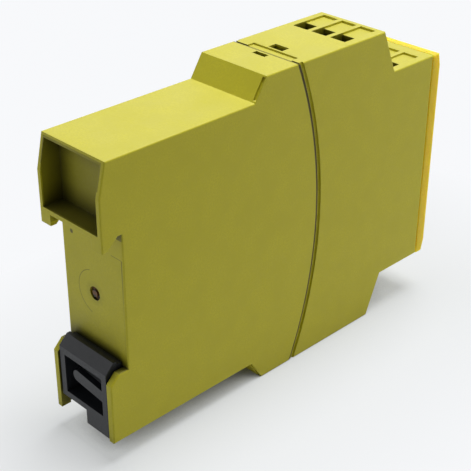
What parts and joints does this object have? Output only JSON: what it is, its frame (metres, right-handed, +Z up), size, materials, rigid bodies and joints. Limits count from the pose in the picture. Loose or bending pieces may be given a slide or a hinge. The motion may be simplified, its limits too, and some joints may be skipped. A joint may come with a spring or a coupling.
{
  "type": "safety relay",
  "caption": "Slim safety relay module for a 35 mm rail: two-part housing, yellow front cover, stepped screw terminals, sprung rail clip.",
  "frame": {"origin": "middle of the underside of the bounding box", "axes": "+Z up as mounted, +Y towards the rail, +X along the rail; the front cover faces -Y"},
  "size_m": [0.0226, 0.121, 0.087],
  "materials": {
    "housing_plastic": "fine eroded texture, olive yellow",
    "cover_plastic": "fine texture, signal yellow",
    "clip_plastic": "fine texture, black",
    "board_laminate": "green lacquer",
    "relay_case": "smooth",
    "core_steel": "laminated",
    "coil_winding": "taped winding",
    "capacitor_can": "sleeved can",
    "varistor_coat": "dipped coat",
    "fuse_metal": "plated caps",
    "chip_plastic": "moulded",
    "lamp_plastic": "clear diffuse",
    "light_guide_plastic": "clear",
    "clamp_steel": "zinc plated",
    "contact_brass": "tinned"
  },
  "bodies": {
    "root": {"rear_housing": "housing_plastic", "front_housing": "housing_plastic", "front_cover": "cover_plastic", "main_board": "board_laminate", "terminal_board_top": "board_laminate", "terminal_board_bottom": "board_laminate", "relay_1": "relay_case", "relay_2": "relay_case", "transformer_core": "core_steel", "transformer_coil": "coil_winding", "capacitor_1": "capacitor_can", "capacitor_2": "capacitor_can", "varistor": "varistor_coat", "fuse_link": "fuse_metal", "controller_chip_1": "chip_plastic", "controller_chip_2": "chip_plastic", "status_lamp_1": "lamp_plastic", "status_lamp_2": "lamp_plastic", "status_lamp_3": "lamp_plastic", "light_guide": "light_guide_plastic", "contact_bar_1": "contact_brass", "contact_bar_2": "contact_brass", "contact_bar_3": "contact_brass", "contact_bar_4": "contact_brass", "contact_bar_5": "contact_brass", "contact_bar_6": "contact_brass", "contact_bar_7": "contact_brass", "contact_bar_8": "contact_brass", "contact_bar_9": "contact_brass", "contact_bar_10": "contact_brass", "contact_bar_11": "contact_brass", "contact_bar_12": "contact_brass"},
    "rail_clip": {"rail_clip": "clip_plastic"},
    "clamp_screw_1": {"clamp_screw_1": "clamp_steel"},
    "clamp_cage_1": {"clamp_cage_1": "clamp_steel"},
    "clamp_screw_2": {"clamp_screw_2": "clamp_steel"},
    "clamp_cage_2": {"clamp_cage_2": "clamp_steel"},
    "clamp_screw_3": {"clamp_screw_3": "clamp_steel"},
    "clamp_cage_3": {"clamp_cage_3": "clamp_steel"},
    "clamp_screw_4": {"clamp_screw_4": "clamp_steel"},
    "clamp_cage_4": {"clamp_cage_4": "clamp_steel"},
    "clamp_screw_5": {"clamp_screw_5": "clamp_steel"},
    "clamp_cage_5": {"clamp_cage_5": "clamp_steel"},
    "clamp_screw_6": {"clamp_screw_6": "clamp_steel"},
    "clamp_cage_6": {"clamp_cage_6": "clamp_steel"},
    "clamp_screw_7": {"clamp_screw_7": "clamp_steel"},
    "clamp_cage_7": {"clamp_cage_7": "clamp_steel"},
    "clamp_screw_8": {"clamp_screw_8": "clamp_steel"},
    "clamp_cage_8": {"clamp_cage_8": "clamp_steel"},
    "clamp_screw_9": {"clamp_screw_9": "clamp_steel"},
    "clamp_cage_9": {"clamp_cage_9": "clamp_steel"},
    "clamp_screw_10": {"clamp_screw_10": "clamp_steel"},
    "clamp_cage_10": {"clamp_cage_10": "clamp_steel"},
    "clamp_screw_11": {"clamp_screw_11": "clamp_steel"},
    "clamp_cage_11": {"clamp_cage_11": "clamp_steel"},
    "clamp_screw_12": {"clamp_screw_12": "clamp_steel"},
    "clamp_cage_12": {"clamp_cage_12": "clamp_steel"}
  },
  "joints": [
    {"name": "clip_slide", "type": "slide", "parent": "root", "child": "rail_clip", "axis": [0, 0, -1], "range_m": [0, 0.0035], "stiffness_N_per_m": 1500, "springref_m": -0.001},
    {"name": "screw_turn_1", "type": "hinge", "parent": "root", "child": "clamp_screw_1", "pos_m": [-0.0064, -0.0315, 0.079], "axis": [0, 1, 0], "range_deg": [0, 2592.1]},
    {"name": "cage_slide_1", "type": "slide", "parent": "root", "child": "clamp_cage_1", "axis": [0, -1, 0], "range_m": [0, 0.0036]},
    {"name": "screw_turn_2", "type": "hinge", "parent": "root", "child": "clamp_screw_2", "pos_m": [0, -0.0315, 0.079], "axis": [0, 1, 0], "range_deg": [0, 2592.1]},
    {"name": "cage_slide_2", "type": "slide", "parent": "root", "child": "clamp_cage_2", "axis": [0, -1, 0], "range_m": [0, 0.0036]},
    {"name": "screw_turn_3", "type": "hinge", "parent": "root", "child": "clamp_screw_3", "pos_m": [0.0064, -0.0315, 0.079], "axis": [0, 1, 0], "range_deg": [0, 2592.1]},
    {"name": "cage_slide_3", "type": "slide", "parent": "root", "child": "clamp_cage_3", "axis": [0, -1, 0], "range_m": [0, 0.0036]},
    {"name": "screw_turn_4", "type": "hinge", "parent": "root", "child": "clamp_screw_4", "pos_m": [-0.0064, -0.051, 0.06685], "axis": [0, 1, 0], "range_deg": [0, 2592.1]},
    {"name": "cage_slide_4", "type": "slide", "parent": "root", "child": "clamp_cage_4", "axis": [0, -1, 0], "range_m": [0, 0.0036]},
    {"name": "screw_turn_5", "type": "hinge", "parent": "root", "child": "clamp_screw_5", "pos_m": [0, -0.051, 0.06685], "axis": [0, 1, 0], "range_deg": [0, 2592.1]},
    {"name": "cage_slide_5", "type": "slide", "parent": "root", "child": "clamp_cage_5", "axis": [0, -1, 0], "range_m": [0, 0.0036]},
    {"name": "screw_turn_6", "type": "hinge", "parent": "root", "child": "clamp_screw_6", "pos_m": [0.0064, -0.051, 0.06685], "axis": [0, 1, 0], "range_deg": [0, 2592.1]},
    {"name": "cage_slide_6", "type": "slide", "parent": "root", "child": "clamp_cage_6", "axis": [0, -1, 0], "range_m": [0, 0.0036]},
    {"name": "screw_turn_7", "type": "hinge", "parent": "root", "child": "clamp_screw_7", "pos_m": [-0.0064, -0.0315, 0.008], "axis": [0, 1, 0], "range_deg": [0, 2592.1]},
    {"name": "cage_slide_7", "type": "slide", "parent": "root", "child": "clamp_cage_7", "axis": [0, -1, 0], "range_m": [0, 0.0036]},
    {"name": "screw_turn_8", "type": "hinge", "parent": "root", "child": "clamp_screw_8", "pos_m": [0, -0.0315, 0.008], "axis": [0, 1, 0], "range_deg": [0, 2592.1]},
    {"name": "cage_slide_8", "type": "slide", "parent": "root", "child": "clamp_cage_8", "axis": [0, -1, 0], "range_m": [0, 0.0036]},
    {"name": "screw_turn_9", "type": "hinge", "parent": "root", "child": "clamp_screw_9", "pos_m": [0.0064, -0.0315, 0.008], "axis": [0, 1, 0], "range_deg": [0, 2592.1]},
    {"name": "cage_slide_9", "type": "slide", "parent": "root", "child": "clamp_cage_9", "axis": [0, -1, 0], "range_m": [0, 0.0036]},
    {"name": "screw_turn_10", "type": "hinge", "parent": "root", "child": "clamp_screw_10", "pos_m": [-0.0064, -0.051, 0.02015], "axis": [0, 1, 0], "range_deg": [0, 2592.1]},
    {"name": "cage_slide_10", "type": "slide", "parent": "root", "child": "clamp_cage_10", "axis": [0, -1, 0], "range_m": [0, 0.0036]},
    {"name": "screw_turn_11", "type": "hinge", "parent": "root", "child": "clamp_screw_11", "pos_m": [0, -0.051, 0.02015], "axis": [0, 1, 0], "range_deg": [0, 2592.1]},
    {"name": "cage_slide_11", "type": "slide", "parent": "root", "child": "clamp_cage_11", "axis": [0, -1, 0], "range_m": [0, 0.0036]},
    {"name": "screw_turn_12", "type": "hinge", "parent": "root", "child": "clamp_screw_12", "pos_m": [0.0064, -0.051, 0.02015], "axis": [0, 1, 0], "range_deg": [0, 2592.1]},
    {"name": "cage_slide_12", "type": "slide", "parent": "root", "child": "clamp_cage_12", "axis": [0, -1, 0], "range_m": [0, 0.0036]}
  ],
  "couplings": [
    {"joint": "screw_turn_1", "follows": "cage_slide_1", "rad_per_m": 12566},
    {"joint": "screw_turn_2", "follows": "cage_slide_2", "rad_per_m": 12566},
    {"joint": "screw_turn_3", "follows": "cage_slide_3", "rad_per_m": 12566},
    {"joint": "screw_turn_4", "follows": "cage_slide_4", "rad_per_m": 12566},
    {"joint": "screw_turn_5", "follows": "cage_slide_5", "rad_per_m": 12566},
    {"joint": "screw_turn_6", "follows": "cage_slide_6", "rad_per_m": 12566},
    {"joint": "screw_turn_7", "follows": "cage_slide_7", "rad_per_m": 12566},
    {"joint": "screw_turn_8", "follows": "cage_slide_8", "rad_per_m": 12566},
    {"joint": "screw_turn_9", "follows": "cage_slide_9", "rad_per_m": 12566},
    {"joint": "screw_turn_10", "follows": "cage_slide_10", "rad_per_m": 12566},
    {"joint": "screw_turn_11", "follows": "cage_slide_11", "rad_per_m": 12566},
    {"joint": "screw_turn_12", "follows": "cage_slide_12", "rad_per_m": 12566}
  ]
}
